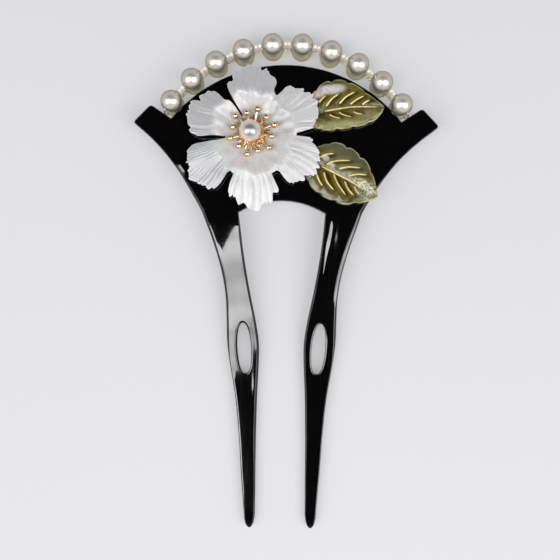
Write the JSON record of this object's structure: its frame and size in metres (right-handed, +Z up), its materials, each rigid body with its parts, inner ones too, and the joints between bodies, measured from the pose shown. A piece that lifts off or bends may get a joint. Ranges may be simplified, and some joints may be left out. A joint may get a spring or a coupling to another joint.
{
  "type": "kanzashi hairpin",
  "caption": "Two-prong hair stick with a flat fan-shaped black head, an arch of round pearls standing over it, a carved shell flower with gilt stamens and glass leaves.",
  "frame": {"origin": "middle of the hairpin's box, on the surface that it lies on", "axes": "+X to the right across the head, +Y from the prong tips to the pearls, +Z up out of the face"},
  "size_m": [0.0852, 0.1398, 0.017],
  "materials": {
    "black_plastic": "polished",
    "pearl": "pearl lustre",
    "wire": "plain",
    "shell": "polished mother-of-pearl",
    "gilt": "polished gilt",
    "leaf_glass": "moulded olive glass"
  },
  "bodies": {
    "root": {"body": "black_plastic", "pearl_front_01": "pearl", "pearl_front_02": "pearl", "pearl_front_03": "pearl", "pearl_front_04": "pearl", "pearl_front_05": "pearl", "pearl_front_06": "pearl", "pearl_front_07": "pearl", "pearl_front_08": "pearl", "pearl_front_09": "pearl", "pearl_front_10": "pearl", "pearl_back_01": "pearl", "pearl_back_02": "pearl", "pearl_back_03": "pearl", "pearl_back_04": "pearl", "pearl_back_05": "pearl", "pearl_back_06": "pearl", "pearl_back_07": "pearl", "pearl_back_08": "pearl", "pearl_back_09": "pearl", "pearl_back_10": "pearl", "pearl_wire_front": "wire", "pearl_wire_back": "wire", "flower": "shell", "stamens": "gilt", "flower_pearl": "pearl", "leaf_upper": "leaf_glass", "leaf_lower": "leaf_glass"}
  },
  "joints": []
}
